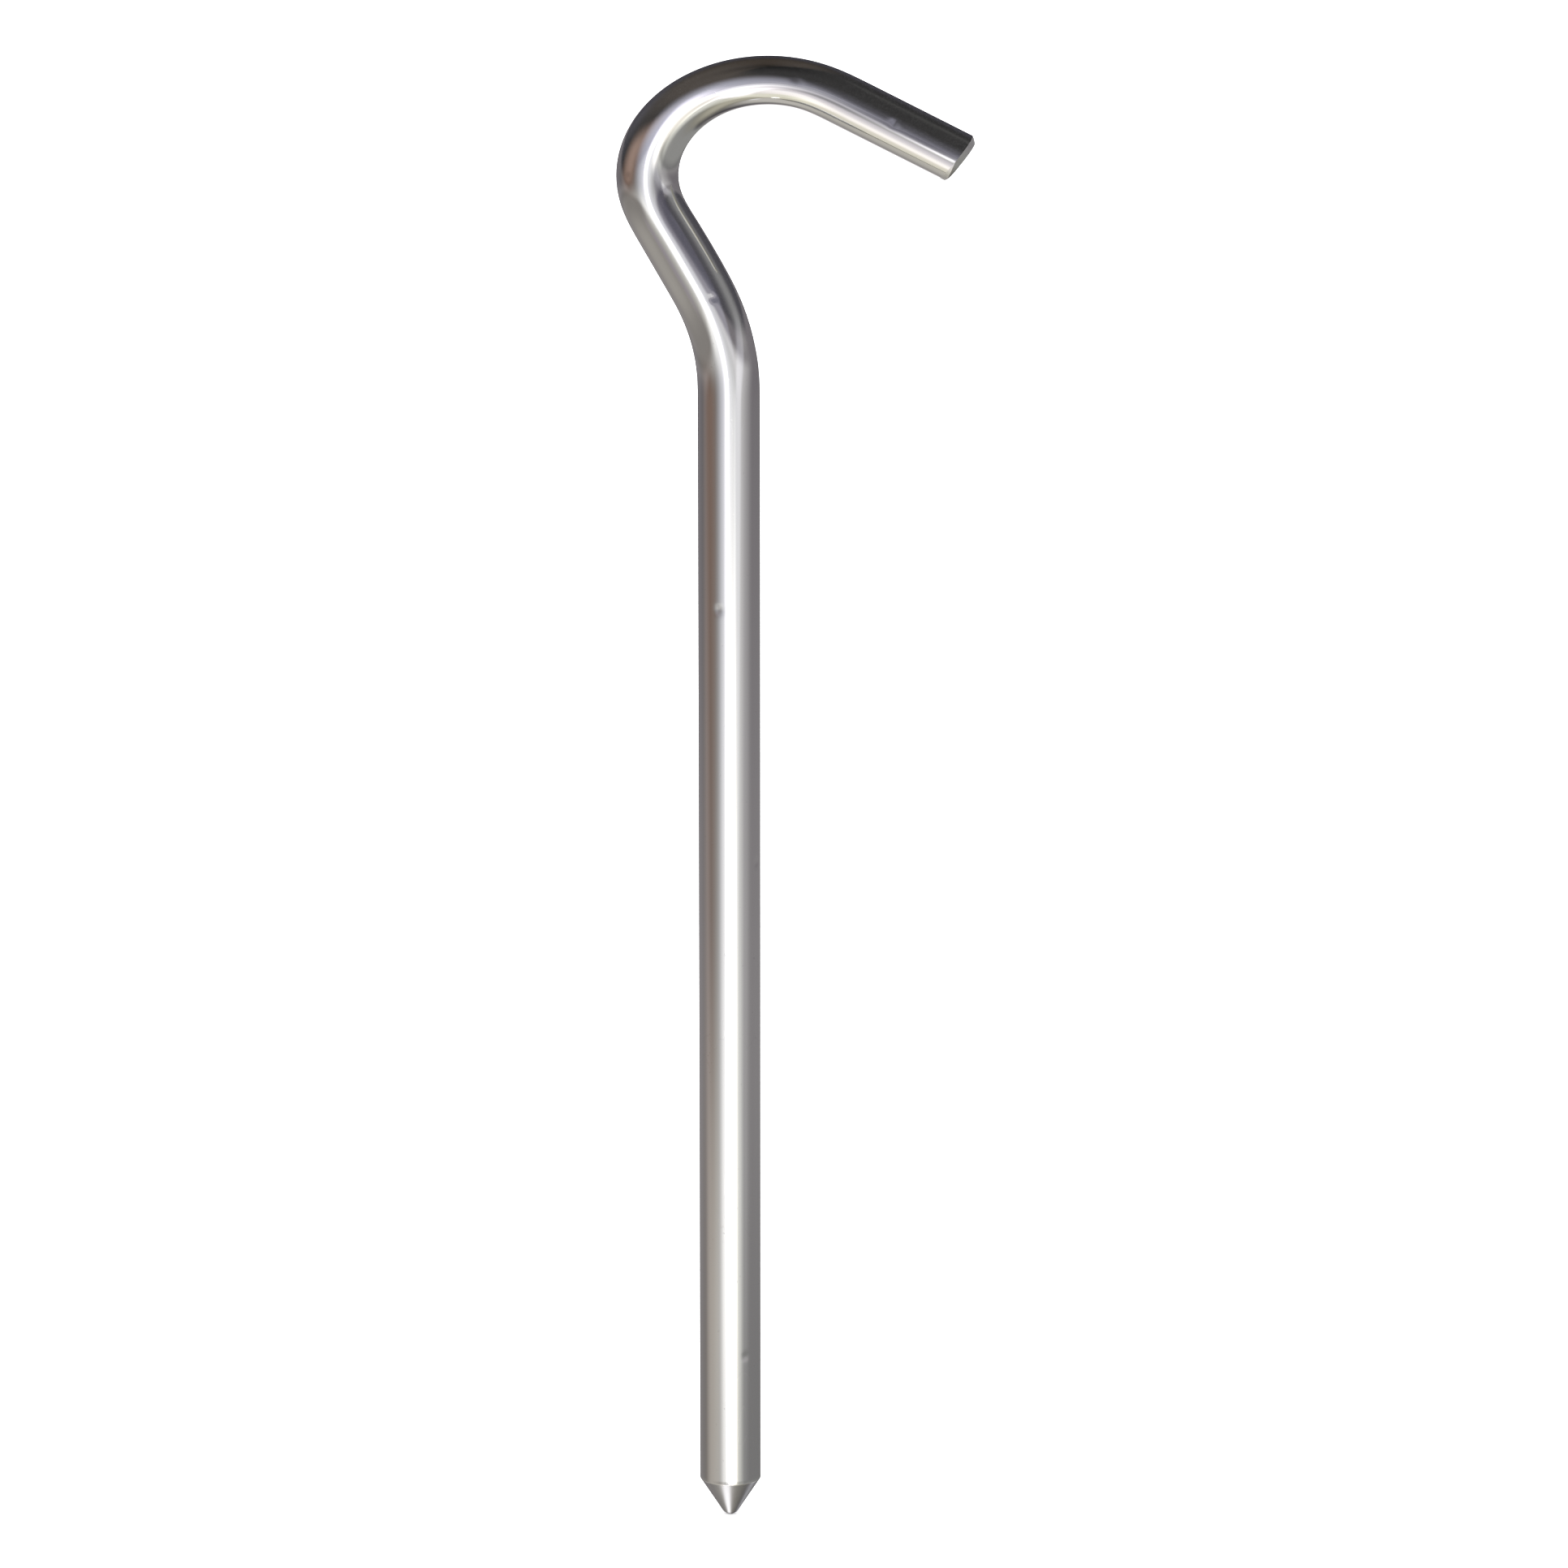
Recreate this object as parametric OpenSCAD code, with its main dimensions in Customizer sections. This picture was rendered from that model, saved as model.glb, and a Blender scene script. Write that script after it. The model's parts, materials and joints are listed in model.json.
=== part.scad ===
// Hook-top tent stake: one round aluminium rod, bent at the top and pointed at the foot.
//
// The shank stands along Z. Z = 0 is where the straight shank ends and the first bend starts:
// the pointed foot is below it and the hook above. The hook is bent in the XZ plane and its
// arm reaches towards +X. From the foot upwards the rod runs: point, shank, lean bend,
// leaning straight, hook bend, arm, cut end.

/* [Rod] */
// Diameter of the round rod
rod_d = 7.4; // [4:0.1:12]
// Straight round part of the shank, from the first bend down to the point
shank_l = 134.1; // [60:0.1:300]

/* [Point] */
// Angle between the flank of the point and the rod's axis
point_half_angle = 33; // [20:1:55]
// Radius of the blunted tip
tip_r = 1.2; // [0.4:0.1:1.5]

/* [Hook] */
// Bend radius, on the rod's centre line, of the bend that leans the rod back from the shank
lean_bend_r = 36; // [20:0.5:80]
// How far the rod leans back from the shank
lean_angle = 24.4; // [5:0.2:40]
// Straight length between the two bends
lean_l = 12.4; // [2:0.1:40]
// Bend radius, on the rod's centre line, of the hook
hook_bend_r = 14.2; // [8:0.1:30]
// How far the hook turns, from the leaning straight to the arm
hook_angle = 147; // [110:1:165]
// Straight length of the arm after the hook
arm_l = 17.9; // [4:0.1:40]
// Height of the pressed hook over its height as bent from round rod (1 leaves it round)
hook_flatness = 0.79; // [0.6:0.01:1]
// Bevel around the cut end of the arm
end_bevel = 0.7; // [0.2:0.1:1.5]

/* [Hidden] */
$fn = 96;

metal = "silver";
rod_r = rod_d / 2;

// The bends are a hair thinner than the straights and run a little way into them, so that
// the rod joins up cleanly.
bend_thinning = 0.02;
bend_rod_r = rod_r - bend_thinning;
seat = 0.05;

// Point: a cone that ends in a ball of radius tip_r. The ball takes over where the cone's
// flank is tangent to it, ball_angle away from the tip, seen from the ball's centre.
ball_angle = 90 - point_half_angle;
cone_h = (rod_r - tip_r * sin(ball_angle)) / tan(point_half_angle);
tip_z = -shank_l - cone_h - tip_r * (1 - cos(ball_angle));
ball_steps = 6;

// The straight shank and its point, turned as one shape
module shank() {
    rotate_extrude()
        polygon(concat(
            [[0, 0], [rod_r, 0], [rod_r, -shank_l]],
            [for (i = [ball_steps : -1 : 0])
                let (a = ball_angle * i / ball_steps)
                    [tip_r * sin(a), tip_z + tip_r * (1 - cos(a))]]
        ));
}

// A straight stretch of rod, and after it what continues the rod
module straight_rod(length) {
    cylinder(r = rod_r, h = length);
    translate([0, 0, length])
        children();
}

// A bend of the rod towards +X (side = 1) or -X (side = -1), and what continues the rod
module bend(bend_r, turn, side) {
    seat_angle = seat / bend_r * 180 / PI;
    mirror([side > 0 ? 1 : 0, 0, 0])
        translate([-bend_r, 0, 0])
            rotate([90, 0, 0])
                rotate([0, 0, -seat_angle])
                    rotate_extrude(angle = turn + 2 * seat_angle)
                        translate([bend_r, 0])
                            circle(r = bend_rod_r);
    translate([side * bend_r, 0, 0])
        rotate([0, side * turn, 0])
            translate([-side * bend_r, 0, 0])
                children();
}

// The arm and its cut end, whose rim is bevelled
module arm() {
    rotate_extrude()
        polygon([
            [0, 0],
            [rod_r, 0],
            [rod_r, arm_l - end_bevel],
            [rod_r - end_bevel, arm_l],
            [0, arm_l]
        ]);
}

// Everything above the shank, pressed a little flatter than it was bent
module hook() {
    scale([1, 1, hook_flatness])
        bend(lean_bend_r, lean_angle, -1)
            straight_rod(lean_l)
                bend(hook_bend_r, hook_angle, 1)
                    arm();
}

module stake() {
    color(metal)
        union() {
            shank();
            hook();
        }
}

stake();
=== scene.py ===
import json
import math

import bpy
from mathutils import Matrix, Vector, noise


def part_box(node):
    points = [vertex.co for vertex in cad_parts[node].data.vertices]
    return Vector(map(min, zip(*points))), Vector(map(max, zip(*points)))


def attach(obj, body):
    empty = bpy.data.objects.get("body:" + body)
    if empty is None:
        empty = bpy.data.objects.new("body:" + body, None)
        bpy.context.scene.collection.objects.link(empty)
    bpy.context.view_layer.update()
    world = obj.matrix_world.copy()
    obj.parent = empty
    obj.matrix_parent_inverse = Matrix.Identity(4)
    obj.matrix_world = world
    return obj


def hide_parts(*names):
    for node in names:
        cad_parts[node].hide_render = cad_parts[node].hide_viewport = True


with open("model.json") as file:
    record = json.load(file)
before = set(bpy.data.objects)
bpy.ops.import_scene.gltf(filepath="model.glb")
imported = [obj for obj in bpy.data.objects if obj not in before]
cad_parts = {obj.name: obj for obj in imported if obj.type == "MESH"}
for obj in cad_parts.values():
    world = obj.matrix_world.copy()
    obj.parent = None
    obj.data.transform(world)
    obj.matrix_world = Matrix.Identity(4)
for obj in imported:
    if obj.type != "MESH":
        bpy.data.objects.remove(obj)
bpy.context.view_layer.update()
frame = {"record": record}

mm = 0.001
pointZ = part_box("stake")[0].z

camera = {
    "lens": 172.8,  # millimetres, as the sensor is
    "sensor": 36,
    "elevation": 12,  # degrees above level, seen from the front
    "distance": 900 * mm,
    "aimAcross": -1.3 * mm,  # from the middle of the box
    "aimUp": 1.9 * mm,
    "nearest": 0.01,  # metres that the camera sees between
    "furthest": 50,
}


def makeCamera(settings):
    low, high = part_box("stake")
    aim = (low + high) / 2
    aim.y = 0
    aim.x += settings["aimAcross"]
    aim.z += settings["aimUp"]
    tilt = math.radians(settings["elevation"])
    data = bpy.data.cameras.new("camera")
    data.lens = settings["lens"]
    data.sensor_width = settings["sensor"]
    data.clip_start = settings["nearest"]
    data.clip_end = settings["furthest"]
    cam = bpy.data.objects.new("camera", data)
    bpy.context.scene.collection.objects.link(cam)
    back = Vector((0, -math.cos(tilt), math.sin(tilt)))
    cam.location = aim + back * settings["distance"]
    cam.rotation_euler = (math.pi / 2 - tilt, 0, 0)
    bpy.context.scene.camera = cam


makeCamera(camera)
print("camera placed")


def addNode(tree, kind, inputs=(), **settings):
    node = tree.nodes.new(kind)
    for name, value in settings.items():
        setattr(node, name, value)
    for key, value in dict(inputs).items():
        if isinstance(value, bpy.types.NodeSocket):
            tree.links.new(value, node.inputs[key])
        else:
            node.inputs[key].default_value = value
    return node


def mathNode(tree, operation, a, b=0.0, c=0.0):
    return addNode(tree, "ShaderNodeMath", {0: a, 1: b, 2: c}, operation=operation).outputs[0]


def mapBetween(tree, value, start, stop, startValue=0.0, stopValue=1.0, kind="SMOOTHSTEP"):
    inputs = {"Value": value, "From Min": start, "From Max": stop}
    inputs.update({"To Min": startValue, "To Max": stopValue})
    return addNode(tree, "ShaderNodeMapRange", inputs, interpolation_type=kind).outputs["Result"]


studio = {
    "white": 2.4,
    # Soft cards far from the stake, which only the metal sees. at: azimuth and elevation of the
    # middle, in degrees, where azimuth 0 is behind the camera and 90 is to its right.
    # wide and tall: half sizes of the even part. softX and softY: how far the edge fades.
    # lean: degrees the card moves sideways for each degree up.
    "cards": [
        {"name": "front", "at": (13, -24), "wide": 2, "softX": 22, "tall": 10, "softY": 5,
         "lean": 0.0, "colour": (0.67, 0.62, 0.53)},
        {"name": "frontStrip", "at": (0, -22), "wide": 1, "softX": 8, "tall": 23, "softY": 27,
         "lean": -0.4, "colour": (1.0, 0.95, 1.05)},
        {"name": "core", "at": (4, -16), "wide": 17, "softX": 7, "tall": 1, "softY": 12,
         "lean": 0.0, "colour": (0.45, 0.45, 0.45)},
        {"name": "frontUp", "at": (-19, 11), "wide": 1, "softX": 38, "tall": 1, "softY": 42,
         "lean": -0.2, "colour": (0.49, 0.49, 0.58)},
        {"name": "frontLow", "at": (-2, -50), "wide": 28, "softX": 23, "tall": 33, "softY": 9,
         "lean": 0.3, "colour": (0.34, 0.34, 0.3)},
        {"name": "lowLeft", "at": (-20, -46), "wide": 17, "softX": 25, "tall": 13, "softY": 11,
         "lean": 0.2, "colour": (0.2, 0.17, 0.24)},
        {"name": "floorLeft", "at": (-148, -79), "wide": 60, "softX": 60, "tall": 12, "softY": 45,
         "lean": 2.2, "colour": (0.47, 0.45, 0.40)},
        {"name": "floorRight", "at": (5, -82), "wide": 60, "softX": 85, "tall": 12, "softY": 30,
         "lean": 0.8, "colour": (0.38, 0.36, 0.27)},
        {"name": "tan", "at": (-68, 5), "wide": 2, "softX": 44, "tall": 5, "softY": 23,
         "lean": 0.4, "colour": (0.28, 0.19, 0.15)},
        {"name": "left", "at": (-115, -30), "wide": 62, "softX": 20, "tall": 8, "softY": 14,
         "lean": 2.2, "colour": (0.23, 0.215, 0.20)},
        {"name": "right", "at": (14, -9), "wide": 9, "softX": 78, "tall": 6, "softY": 5,
         "lean": 2.1, "colour": (0.46, 0.46, 0.45)},
        {"name": "second", "at": (47, -4), "wide": 6, "softX": 10, "tall": 3, "softY": 17,
         "lean": 2.6, "colour": (0.22, 0.22, 0.24)},
        {"name": "rightFront", "at": (30, 14), "wide": 12, "softX": 8, "tall": 10, "softY": 12,
         "lean": 0.7, "colour": (0.13, 0.13, 0.16)},
        {"name": "rightUp", "at": (92, 28), "wide": 1, "softX": 31, "tall": 16, "softY": 17,
         "lean": 0.4, "colour": (0.16, 0.16, 0.15)},
        {"name": "rightLow", "at": (88, -33), "wide": 65, "softX": 18, "tall": 7, "softY": 20,
         "lean": 2.4, "colour": (0.23, 0.23, 0.21)},
        {"name": "rear", "at": (138, -4), "wide": 103, "softX": 28, "tall": 9, "softY": 5,
         "lean": -2.7, "colour": (0.12, 0.11, 0.11)},
        {"name": "rearStrip", "at": (180, -24), "wide": 5, "softX": 12, "tall": 5, "softY": 9,
         "lean": 0.0, "colour": (1.0, 0.98, 1.0)},
        {"name": "leftUp", "at": (-117, 60), "wide": 86, "softX": 25, "tall": 5, "softY": 35,
         "lean": -0.7, "colour": (0.045, 0.035, 0.027)},
        {"name": "ceiling", "at": (0, 40), "wide": 127, "softX": 62, "tall": 16, "softY": 48,
         "lean": 0.1, "colour": (0.030, 0.029, 0.029)},
        {"name": "fill", "at": (107, -28), "wide": 101, "softX": 54, "tall": 49, "softY": 27,
         "lean": 0.3, "colour": (0.042, 0.040, 0.050)},
    ],
    # Cards close to the stake, which only the metal sees. slant: 0 lies level, 90 stands up.
    # turn: degrees a standing card is turned from facing the front. half: half sizes, to the
    # middle of the soft edge. cover: how much of what lies behind the card it hides.
    "nearCards": [
        {"name": "underPoint", "at": (-4.5 * mm, -3 * mm, pointZ - 22 * mm), "slant": 0, "turn": 0,
         "half": (4.2 * mm, 9 * mm), "soft": (4 * mm, 6 * mm),
         "light": (2.8, 2.8, 2.7), "cover": 1.0},
        {"name": "besidePoint", "at": (20 * mm, 18 * mm, pointZ - 22 * mm), "slant": 0, "turn": 0,
         "half": (6 * mm, 8 * mm), "soft": (8 * mm, 8 * mm),
         "light": (0.75, 0.75, 0.76), "cover": 1.0},
        {"name": "lowerLeft", "at": (-82 * mm, -38 * mm, pointZ - 36 * mm), "slant": 90, "turn": -65,
         "half": (45 * mm, 65 * mm), "soft": (60 * mm, 60 * mm),
         "light": (0.77, 0.73, 0.65), "cover": 0.28},
        {"name": "armFlag", "at": (17 * mm, -32 * mm, 27 * mm), "slant": 90, "turn": 0,
         "half": (15 * mm, 8 * mm), "soft": (17 * mm, 11 * mm),
         "light": (0.08, 0.075, 0.10), "cover": 0.82},
    ],
}


def cardLight(tree, azimuth, elevation, card, below):
    middleX, middleY = (math.radians(a) for a in card["at"])
    up = mathNode(tree, "SUBTRACT", elevation, middleY)
    across = mathNode(tree, "SUBTRACT", azimuth, middleX)
    across = mathNode(tree, "MULTIPLY_ADD", up, -card["lean"], across)
    across = mathNode(tree, "ABSOLUTE", mathNode(tree, "WRAP", across, math.pi, -math.pi))
    up = mathNode(tree, "ABSOLUTE", up)
    edgeX, edgeY = math.radians(card["wide"]), math.radians(card["tall"])
    insideX = mapBetween(tree, across, edgeX, edgeX + math.radians(card["softX"]), 1, 0)
    insideY = mapBetween(tree, up, edgeY, edgeY + math.radians(card["softY"]), 1, 0)
    inside = mathNode(tree, "MULTIPLY", insideX, insideY)
    lit = addNode(
        tree,
        "ShaderNodeVectorMath",
        {0: card["colour"], 1: inside, 2: below},
        operation="MULTIPLY_ADD",
        label=card["name"],
    )
    return lit.outputs["Vector"]


def makeStudio(settings):
    world = bpy.data.worlds.new("studio")
    bpy.context.scene.world = world
    world.use_nodes = True
    tree = world.node_tree
    tree.nodes.clear()
    direction = addNode(tree, "ShaderNodeTexCoord").outputs["Generated"]
    parts = addNode(tree, "ShaderNodeSeparateXYZ", {0: direction})
    towards = mathNode(tree, "MULTIPLY", parts.outputs["Y"], -1)
    azimuth = mathNode(tree, "ARCTAN2", parts.outputs["X"], towards)
    elevation = mathNode(tree, "ARCSINE", parts.outputs["Z"])
    light = addNode(tree, "ShaderNodeCombineXYZ").outputs[0]
    for card in settings["cards"]:
        light = cardLight(tree, azimuth, elevation, card, light)
    # the metal reflects the cards, and everything else stands in an even white room
    white = settings["white"]
    room = addNode(tree, "ShaderNodeBackground", {"Color": (white, white, white, 1)})
    cards = addNode(tree, "ShaderNodeBackground", {"Color": light})
    mirrored = addNode(tree, "ShaderNodeLightPath").outputs["Is Glossy Ray"]
    seen = {0: mirrored, 1: room.outputs[0], 2: cards.outputs[0]}
    pick = addNode(tree, "ShaderNodeMixShader", seen)
    out = addNode(tree, "ShaderNodeOutputWorld")
    tree.links.new(pick.outputs[0], out.inputs["Surface"])


def flatSheet(name, halfX, halfY, z=0.0):
    corners = [(-halfX, -halfY), (halfX, -halfY), (halfX, halfY), (-halfX, halfY)]
    mesh = bpy.data.meshes.new(name)
    mesh.from_pydata([(x, y, z) for x, y in corners], [], [(0, 1, 2, 3)])
    sheet = bpy.data.objects.new(name, mesh)
    bpy.context.scene.collection.objects.link(sheet)
    return sheet


def makeNearCard(card):
    halfX, halfY = (half + soft / 2 for half, soft in zip(card["half"], card["soft"]))
    plane = flatSheet(card["name"], halfX, halfY)
    plane.location = card["at"]
    plane.rotation_euler = (math.radians(card["slant"]), 0, math.radians(card["turn"]))
    for ray in ("camera", "diffuse", "shadow", "transmission", "volume_scatter"):
        setattr(plane, "visible_" + ray, False)
    material = bpy.data.materials.new(card["name"])
    material.use_nodes = True
    material.cycles.emission_sampling = "NONE"
    tree = material.node_tree
    tree.nodes.clear()
    place = addNode(tree, "ShaderNodeTexCoord").outputs["Object"]
    parts = addNode(tree, "ShaderNodeSeparateXYZ", {0: place})
    cover = card["cover"]
    for axis, half, soft in zip("XY", card["half"], card["soft"]):
        away = mathNode(tree, "ABSOLUTE", parts.outputs[axis])
        inside = mapBetween(tree, away, half - soft / 2, half + soft / 2, 1, 0)
        cover = mathNode(tree, "MULTIPLY", inside, cover)
    clear = addNode(tree, "ShaderNodeBsdfTransparent")
    glow = addNode(tree, "ShaderNodeEmission", {"Color": (*card["light"], 1)})
    mix = addNode(tree, "ShaderNodeMixShader", {0: cover, 1: clear.outputs[0], 2: glow.outputs[0]})
    addNode(tree, "ShaderNodeOutputMaterial", {"Surface": mix.outputs[0]})
    plane.data.materials.append(material)


paper = {
    "half": 6.0,  # metres from its middle to its edge
    "shade": 0.9,
    "roughness": 0.9,
}


def makeFloor(settings):
    floor = flatSheet("floor", settings["half"], settings["half"], pointZ)
    floor.visible_glossy = False
    material = bpy.data.materials.new("palePaper")
    material.use_nodes = True
    shader = material.node_tree.nodes["Principled BSDF"]
    shade = settings["shade"]
    shader.inputs["Base Color"].default_value = (shade, shade, shade, 1)
    shader.inputs["Roughness"].default_value = settings["roughness"]
    shader.inputs["Specular IOR Level"].default_value = 0.0
    floor.data.materials.append(material)


bpy.context.scene.view_settings.view_transform = "Standard"
makeStudio(studio)
makeFloor(paper)
for card in studio["nearCards"]:
    makeNearCard(card)
print("studio and floor ready")


shank = next(m for m in frame["record"]["mounts"] if m["name"] == "shank")
stake = {
    "rodR": shank["dims"]["r_mm"] * mm,
    "shankL": shank["dims"]["length_mm"] * mm,
    "pointHalfAngle": 33,
    "tipR": 1.2 * mm,
    "leanBendR": 36 * mm,
    "leanAngle": 24.4,
    "leanL": 12.4 * mm,
    "hookBendR": 14.2 * mm,
    "hookAngle": 147,
    "armL": 17.9 * mm,
    "flatness": 0.79,  # the hook is pressed flatter after bending
    "bendThinning": 0.02 * mm,
    "ease": 5 * mm,
    "edgeRound": 0.08 * mm,  # worn edge between point and shank
    "cutBevel": 0.85 * mm,  # at the front and top of the cut end, where the shear pulled it round
    "cutBevelUnder": 0.15 * mm,
    "underSlope": 1.4,  # how fast the cut end turns crisp towards its underside
    "underOffset": 0.1,
    "step": 0.4 * mm,  # between rings
    "around": 96,  # points in a ring
    "tipSteps": 8,  # rings round the ball of the point
    "easeSamples": 12,
    "sharpAngle": 24,
    "waviness": 0.006 * mm,
    "wavesAlong": 90,  # per metre
    "wavesAround": 0.6,
    # the neck is pressed a little oval: its width grows by twice this, on the hook's inner side
    "pinch": {"at": 20 * mm, "reach": 15 * mm, "wider": 0.14 * mm},
    # small dents: how far along the rod from the first bend, degrees round from the front to the
    # outside of the hook, size, depth
    "nicks": [
        (-26.0 * mm, 20, 0.40 * mm, 0.07 * mm),
        (14.3 * mm, -15, 0.40 * mm, 0.07 * mm),
        (72.2 * mm, 11, 0.55 * mm, 0.06 * mm),
        (59.4 * mm, 15, 0.50 * mm, 0.05 * mm),
        (34.0 * mm, 38, 0.35 * mm, 0.04 * mm),
        (-118.0 * mm, -30, 0.30 * mm, 0.04 * mm),
        (-57.0 * mm, -62, 0.35 * mm, 0.04 * mm),
        (-80.0 * mm, 150, 0.45 * mm, 0.06 * mm),
        (46.0 * mm, 170, 0.50 * mm, 0.06 * mm),
        (-12.0 * mm, 205, 0.40 * mm, 0.05 * mm),
    ],
}


def evenly(length, step):
    count = max(2, math.ceil(length / step))
    return [length * (i + 1) / count for i in range(count)]


def ringAt(x, z, heading, radius, along, finish="rod", **more):
    ring = {"x": x, "z": z, "heading": heading, "radius": radius, "along": along, "finish": finish}
    return {**ring, **more}


def pointRings(s):
    up = math.pi / 2
    half = math.radians(s["pointHalfAngle"])
    ballTurn = up - half
    coneH = (s["rodR"] - s["tipR"] * math.sin(ballTurn)) / math.tan(half)
    tipZ = -s["shankL"] - coneH - s["tipR"] * (1 - math.cos(ballTurn))
    rings = []
    for i in range(1, s["tipSteps"] + 1):
        turn = ballTurn * i / s["tipSteps"]
        z = tipZ + s["tipR"] * (1 - math.cos(turn))
        rings.append(ringAt(0, z, up, s["tipR"] * math.sin(turn), z, "point"))
    footZ, footR = rings[-1]["z"], rings[-1]["radius"]
    for rise in evenly(coneH - s["edgeRound"], s["step"] / 2):
        z = footZ + rise
        rings.append(ringAt(0, z, up, footR + rise * math.tan(half), z, "point"))
    # the edge is worn slightly round
    for ease in (0.25, 0.5, 0.75, 1):
        z = -s["shankL"] - s["edgeRound"] * (1 - 2 * ease)
        shy = s["edgeRound"] * math.tan(half) * (1 - ease) ** 2
        rings.append(ringAt(0, z, up, s["rodR"] - shy, z))
    return rings


def bentRings(s, legs, start, last):
    # legs are (length, turn). Each bend eases in and out, as rod does round a former
    def headingAt(along):
        heading = math.pi / 2
        for length, turn in legs:
            heading += turn * min(1, max(0, along / length))
            along -= length
        return heading

    samples = s["easeSamples"]
    offsets = [s["ease"] / 2 * (2 * (i + 0.5) / samples - 1) for i in range(samples)]

    def eased(along):
        return sum(headingAt(along + offset) for offset in offsets) / samples

    rings = []
    gauge = 1 * mm  # the bend is measured this far either side
    x, z, along = start["x"], start["z"], start["along"]
    count = math.ceil((last - along) / s["step"])
    step = (last - along) / count
    for _ in range(count):
        middle = eased(along + step / 2)
        x += step * math.cos(middle)
        z += step * math.sin(middle)
        along += step
        bentHere = abs(eased(along + gauge) - eased(along - gauge)) * s["hookBendR"] / (2 * gauge)
        radius = s["rodR"] - s["bendThinning"] * min(1, bentHere)
        rings.append(ringAt(x, z, eased(along), radius, along))
    return rings


def rodRings(s):
    rings = pointRings(s)
    lean = math.radians(s["leanAngle"])
    hook = math.radians(s["hookAngle"])
    legs = [
        (s["leanBendR"] * lean, lean),
        (s["leanL"], 0),
        (s["hookBendR"] * hook, -hook),
        (s["armL"], 0),
    ]
    armEnd = sum(length for length, turn in legs)
    rings += bentRings(s, legs, rings[-1], armEnd - s["cutBevel"])
    end = rings[-1]
    heading = end["heading"]
    x = end["x"] + s["cutBevel"] * math.cos(heading)
    z = end["z"] + s["cutBevel"] * math.sin(heading)
    # the cut end: how far behind the flat a ring lies and how far inside the rod, both in bevels,
    # and its share of the radius that is left
    rim = [(1, 0, 1), (0.55, 0.38, 1), (0.2, 0.75, 1), (0, 1, 1)]
    flat = [(0, 1, 0.75), (0, 1, 0.5), (0, 1, 0.25)]
    for back, shy, share in rim + flat:
        cut = {"back": back, "shy": shy, "share": share}
        rings.append(ringAt(x, z, heading, s["rodR"], armEnd, "cut", **cut))
    return rings


def nickDepth(s, along, degreesRound):
    depth = 0
    faded = 12  # how far off, in sizes and squared, a dent has run out
    for where, side, size, deep in s["nicks"]:
        dx = (along - where) / size
        dy = math.radians((degreesRound - side + 180) % 360 - 180) * s["rodR"] / size
        if dx * dx + dy * dy < faded:
            depth += deep * math.exp(-dx * dx - dy * dy)
    return depth


def pinchAt(pinch, along):
    away = min(1, abs(along - pinch["at"]) / pinch["reach"])
    return pinch["wider"] * (0.5 + 0.5 * math.cos(math.pi * away))


def ringPoint(s, ring, turn):
    # turn goes round from the front of the rod to the outside of the hook
    outward = Vector((-math.sin(ring["heading"]), 0, math.cos(ring["heading"])))
    forward = Vector((math.cos(ring["heading"]), 0, math.sin(ring["heading"])))
    around = Vector((0, -1, 0)) * math.cos(turn) + outward * math.sin(turn)
    along = ring["along"]
    r = ring["radius"]
    centre = Vector((ring["x"], 0, ring["z"]))
    if ring["finish"] == "cut":
        under = min(1, max(0, -math.sin(turn) * s["underSlope"] - s["underOffset"]))
        bevel = s["cutBevel"] + (s["cutBevelUnder"] - s["cutBevel"]) * under
        centre -= forward * ring["back"] * bevel
        r = (r - ring["shy"] * bevel) * ring["share"]
    elif ring["finish"] == "rod":
        swing = s["wavesAround"]
        place = Vector((along * s["wavesAlong"], math.cos(turn) * swing, math.sin(turn) * swing))
        r -= s["waviness"] * (0.5 + 0.5 * noise.noise(place))
        r -= nickDepth(s, along, math.degrees(turn))
    point = centre + around * r + outward * (math.sin(turn) - 1) * pinchAt(s["pinch"], along)
    if along > 0 and point.z > 0:
        point.z *= s["flatness"]
    return point, (math.cos(turn) * r, math.sin(turn) * r, along)


def rodPoints(s, rings):
    verts, spaces = [], []
    for ring in rings:
        for i in range(s["around"]):
            point, space = ringPoint(s, ring, 2 * math.pi * i / s["around"] + math.pi)
            verts.append(point)
            spaces.append(space)
    # one vertex closes each end
    end = rings[-1]
    verts += [Vector((0, 0, pointZ)), Vector((end["x"], 0, end["z"] * s["flatness"]))]
    spaces += [(0, 0, rings[0]["along"]), (0, 0, end["along"])]
    return verts, spaces


def rodFaces(s, rings, slotNumber):
    count = s["around"]
    faces, slots, uvs = [], [], []
    for n in range(len(rings) - 1):
        a = n * count
        low, high = rings[n]["along"], rings[n + 1]["along"]
        if high == low:  # across the cut end
            high += s["step"]
        for i in range(count):
            j = (i + 1) % count
            left, right = i / count, (i + 1) / count
            faces.append((a + j, a + i, a + count + i, a + count + j))
            slots.append(slotNumber[rings[n + 1]["finish"]])
            uvs += [(right, low), (left, low), (left, high), (right, high)]
    tip = len(rings) * count
    middle = tip + 1
    last = tip - count
    low, high = rings[0]["along"], rings[-1]["along"] + s["step"]
    for i in range(count):
        j = (i + 1) % count
        left, right = i / count, (i + 1) / count
        faces += [(tip, i, j), (middle, last + j, last + i)]
        slots += [slotNumber["point"], slotNumber["cut"]]
        uvs += [(left, low - s["step"]), (left, low), (right, low)]
        uvs += [(left, high + s["step"]), (right, high), (left, high)]
    return faces, slots, uvs


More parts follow.
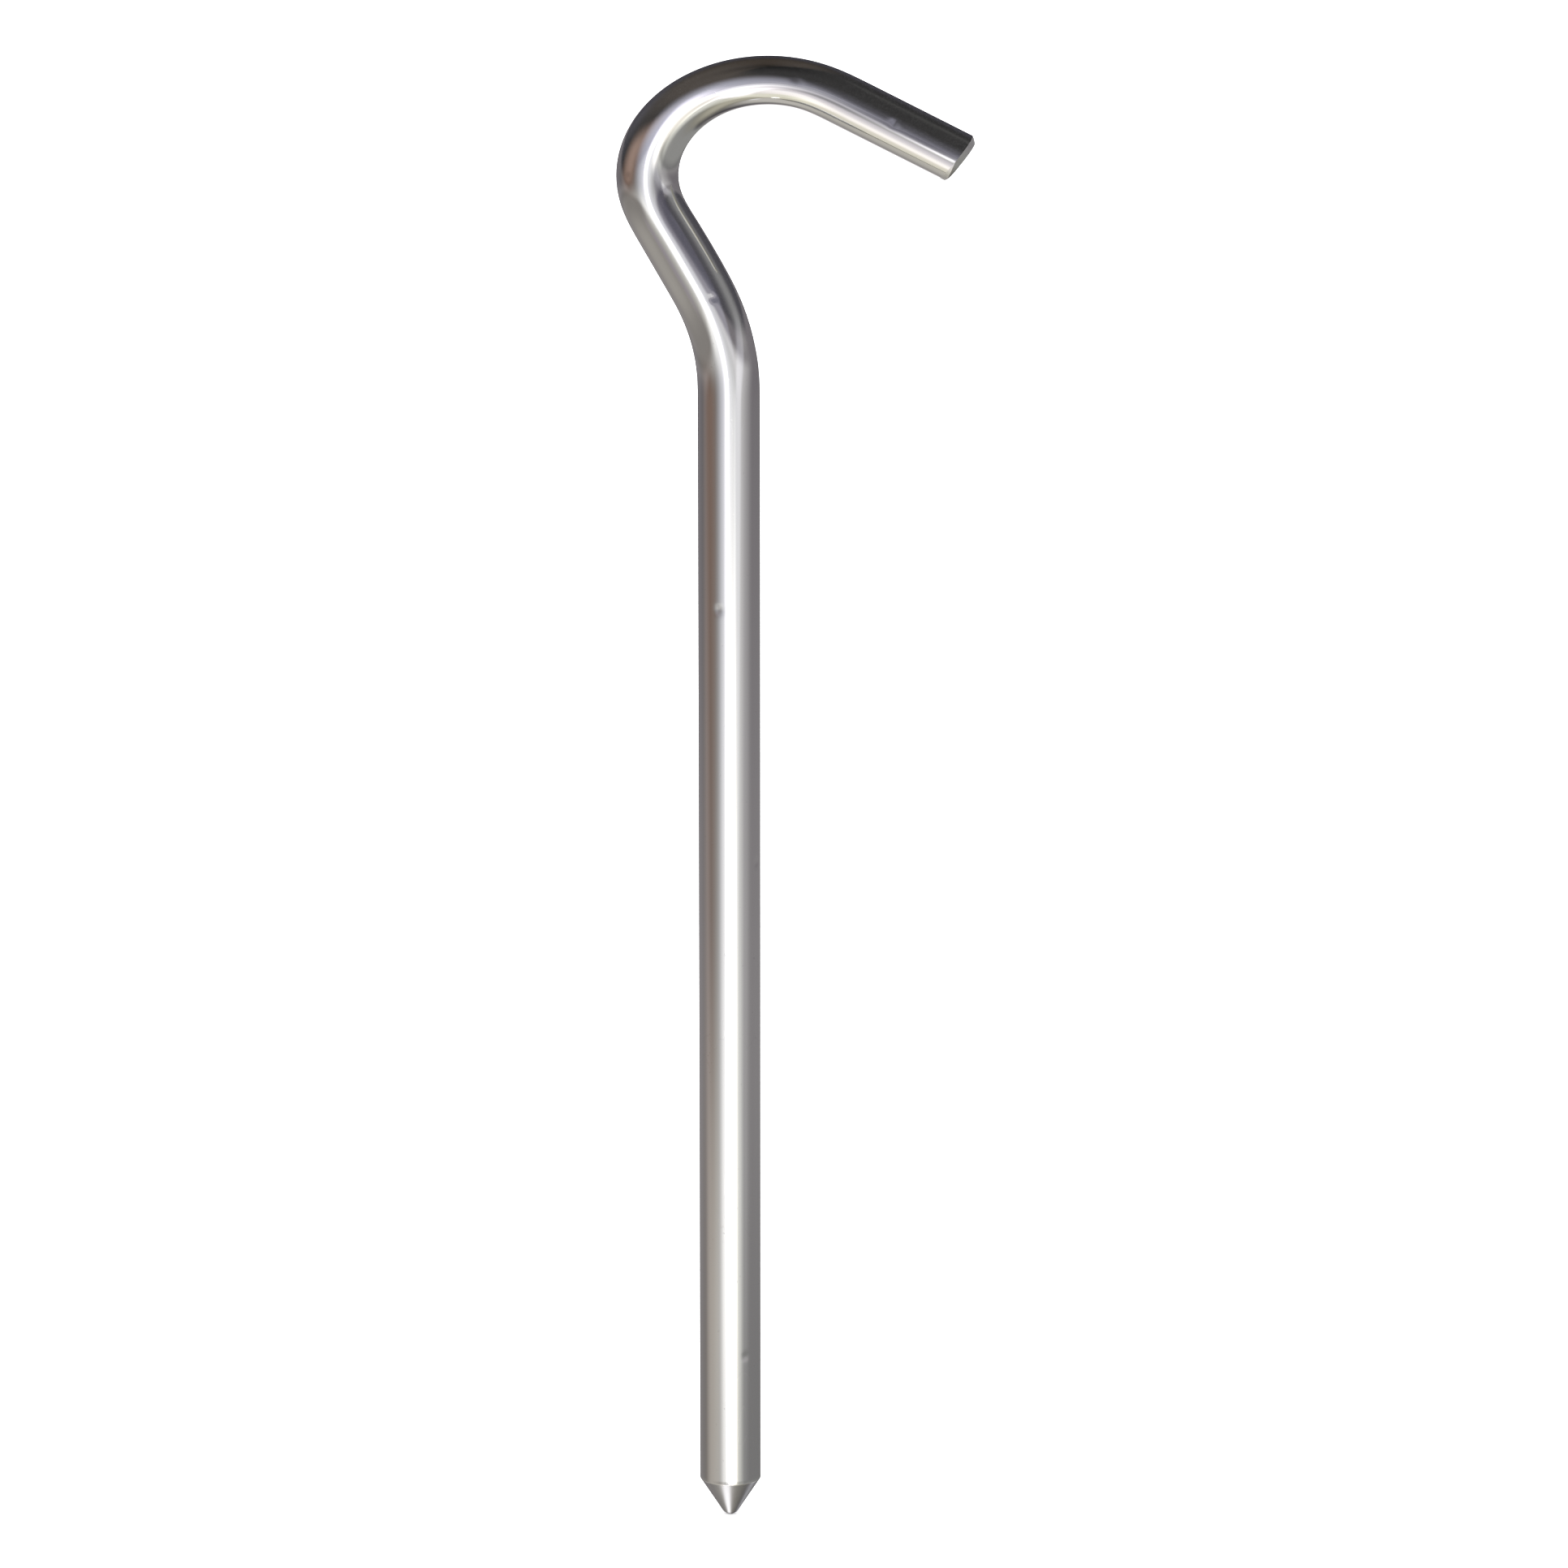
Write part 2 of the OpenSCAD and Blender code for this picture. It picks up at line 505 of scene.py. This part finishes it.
def makeStake(s, finishes):
    rings = rodRings(s)
    verts, spaces = rodPoints(s, rings)
    slotNumber = {name: n for n, name in enumerate(finishes)}
    faces, slots, uvs = rodFaces(s, rings, slotNumber)
    mesh = bpy.data.meshes.new("stake_rod")
    mesh.from_pydata(verts, [], faces)
    for finish in finishes.values():
        mesh.materials.append(finish)
    mesh.polygons.foreach_set("material_index", slots)
    mesh.polygons.foreach_set("use_smooth", [True] * len(faces))
    uvMap = mesh.uv_layers.new(name="rodUV")
    uvMap.uv.foreach_set("vector", [number for uv in uvs for number in uv])
    # place in the rod, as if it were straight: to the front, to the outside of the hook, along
    rodSpace = mesh.attributes.new("rodSpace", "FLOAT_VECTOR", "POINT")
    rodSpace.data.foreach_set("vector", [number for space in spaces for number in space])
    mesh.update()
    mesh.set_sharp_from_angle(angle=math.radians(s["sharpAngle"]))
    piece = bpy.data.objects.new("stake_rod", mesh)
    bpy.context.scene.collection.objects.link(piece)
    return piece


metal = {
    "rod": {
        "colour": (0.915, 0.915, 0.915),
        "roughness": (0.05, 0.12),
        "drawLines": 7000,  # per metre round the rod, as are the next four
        "hairs": 520,
        "hairPatches": 70,
        "film": 55,
        "pits": 2600,
        "drawStretch": 0.012,
        "lineDepth": 0.0011 * mm,
        "anisotropy": 0.45,
        "anisotropyTurn": 0.0,
    },
    "point": {
        # painted shade: the point's metal is set far darker than the rod's so its flanks come out
        # dark, and a little blue to cancel the warm tint of the cards it reflects
        "colour": (0.50, 0.495, 0.52),
        "roughness": (0.26, 0.36),
        "cutterRings": 9000,  # per metre along the point
        "blotches": 900,
        "lineDepth": 0.0015 * mm,
        "anisotropy": 0.8,
        "anisotropyTurn": 0.25,
    },
    "cut": {
        "colour": (0.86, 0.86, 0.85),
        "roughness": (0.26, 0.42),
        "shearLines": 5200,  # per metre across the cut
        "shearStretch": 0.04,
        "blotches": 700,
        "lineDepth": 0.003 * mm,
        "anisotropy": 0.3,
        "anisotropyTurn": 0.0,
    },
}


def bareMetal(name, look):
    material = bpy.data.materials.new(name)
    material.use_nodes = True
    tree = material.node_tree
    shader = tree.nodes["Principled BSDF"]
    shader.inputs["Metallic"].default_value = 1.0
    shader.inputs["Anisotropic"].default_value = look["anisotropy"]
    shader.inputs["Anisotropic Rotation"].default_value = look["anisotropyTurn"]
    tangent = addNode(tree, "ShaderNodeTangent", direction_type="UV_MAP", uv_map="rodUV")
    tree.links.new(tangent.outputs["Tangent"], shader.inputs["Tangent"])
    space = addNode(tree, "ShaderNodeAttribute", attribute_name="rodSpace").outputs["Vector"]
    return material, tree, shader, space


def noiseAt(tree, space, scale, stretch=(1, 1, 1), detail=2.0, roughness=0.5):
    if stretch != (1, 1, 1):
        stretched = addNode(tree, "ShaderNodeVectorMath", {0: space, 1: stretch}, operation="MULTIPLY")
        space = stretched.outputs[0]
    inputs = {"Vector": space, "Scale": scale, "Detail": detail, "Roughness": roughness}
    return addNode(tree, "ShaderNodeTexNoise", inputs).outputs["Fac"]


def scaleColour(tree, colour, amount):
    node = addNode(tree, "ShaderNodeVectorMath", {0: colour, 3: amount}, operation="SCALE")
    return node.outputs[0]


def finishSurface(tree, shader, look, tint, wear, height):
    # tint near 1 colours the metal, wear 0 to 1 goes from the smooth roughness to the dull one
    tree.links.new(scaleColour(tree, look["colour"], tint), shader.inputs["Base Color"])
    smooth, dull = look["roughness"]
    roughness = mapBetween(tree, wear, 0, 1, smooth, dull, kind="LINEAR")
    tree.links.new(roughness, shader.inputs["Roughness"])
    relief = {"Height": height, "Strength": 1.0, "Distance": look["lineDepth"]}
    bump = addNode(tree, "ShaderNodeBump", relief)
    tree.links.new(bump.outputs["Normal"], shader.inputs["Normal"])


def polishedRod(look):
    material, tree, shader, space = bareMetal("polishedRod", look)
    stretch = look["drawStretch"]
    # fine lines that the drawing die leaves along the rod
    lines = noiseAt(tree, space, look["drawLines"], (1, 1, stretch), 3, 0.6)
    broad = noiseAt(tree, space, look["drawLines"] / 6, (1, 1, stretch * 1.5), 2)
    # a few hairline scratches: narrow contours of a long soft noise, kept in patches
    hair = noiseAt(tree, space, look["hairs"], (1, 1, 0.3), 1.5)
    hair = mathNode(tree, "ABSOLUTE", mathNode(tree, "SUBTRACT", hair, 0.5))
    hair = mapBetween(tree, hair, 0.0, 0.006, 1, 0)
    patches = mapBetween(tree, noiseAt(tree, space, look["hairPatches"], detail=1), 0.52, 0.62)
    hair = mathNode(tree, "MULTIPLY", hair, patches)
    # thin film from handling, and tiny pits
    film = mapBetween(tree, noiseAt(tree, space, look["film"], (1, 1, 0.5), 3), 0.35, 0.75)
    pits = mapBetween(tree, noiseAt(tree, space, look["pits"], detail=1), 0.74, 0.82)
    wear = mathNode(tree, "MULTIPLY_ADD", film, 0.45, mathNode(tree, "MULTIPLY", lines, 0.35))
    wear = mathNode(tree, "MULTIPLY_ADD", hair, 0.8, wear)
    wear = mathNode(tree, "ADD", wear, pits)
    tint = mathNode(tree, "MULTIPLY_ADD", broad, 0.05, 0.985)
    tint = mathNode(tree, "MULTIPLY_ADD", film, -0.02, tint)
    tint = mathNode(tree, "MULTIPLY_ADD", pits, -0.12, tint)
    height = mathNode(tree, "MULTIPLY_ADD", broad, 2.0, lines)
    height = mathNode(tree, "MULTIPLY_ADD", hair, -1.2, height)
    height = mathNode(tree, "MULTIPLY_ADD", pits, -2.0, height)
    finishSurface(tree, shader, look, tint, wear, height)
    return material


def turnedPoint(look):
    material, tree, shader, space = bareMetal("turnedPoint", look)
    # rings from the pointing cutter, and blotches of dirt
    rings = noiseAt(tree, space, look["cutterRings"], (0.02, 0.02, 1), 2)
    blotch = noiseAt(tree, space, look["blotches"], detail=3)
    wear = mathNode(tree, "MULTIPLY_ADD", rings, 0.5, mathNode(tree, "MULTIPLY", blotch, 0.6))
    tint = mathNode(tree, "MULTIPLY_ADD", blotch, 0.10, 0.94)
    height = mathNode(tree, "MULTIPLY_ADD", blotch, 0.6, rings)
    finishSurface(tree, shader, look, tint, wear, height)
    return material


def shearedEnd(look):
    material, tree, shader, space = bareMetal("shearedEnd", look)
    lines = noiseAt(tree, space, look["shearLines"], (look["shearStretch"], 1, 1), 3, 0.6)
    blotch = noiseAt(tree, space, look["blotches"], detail=2)
    wear = mathNode(tree, "MULTIPLY_ADD", lines, 0.6, mathNode(tree, "MULTIPLY", blotch, 0.5))
    tint = mathNode(tree, "MULTIPLY_ADD", lines, 0.14, 0.91)
    finishSurface(tree, shader, look, tint, wear, lines)
    return material


finishes = {
    "rod": polishedRod(metal["rod"]),
    "point": turnedPoint(metal["point"]),
    "cut": shearedEnd(metal["cut"]),
}
print("finishes made")

rod = makeStake(stake, finishes)
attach(rod, "root")
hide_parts("stake")
print("stake made,", len(rod.data.polygons), "faces")
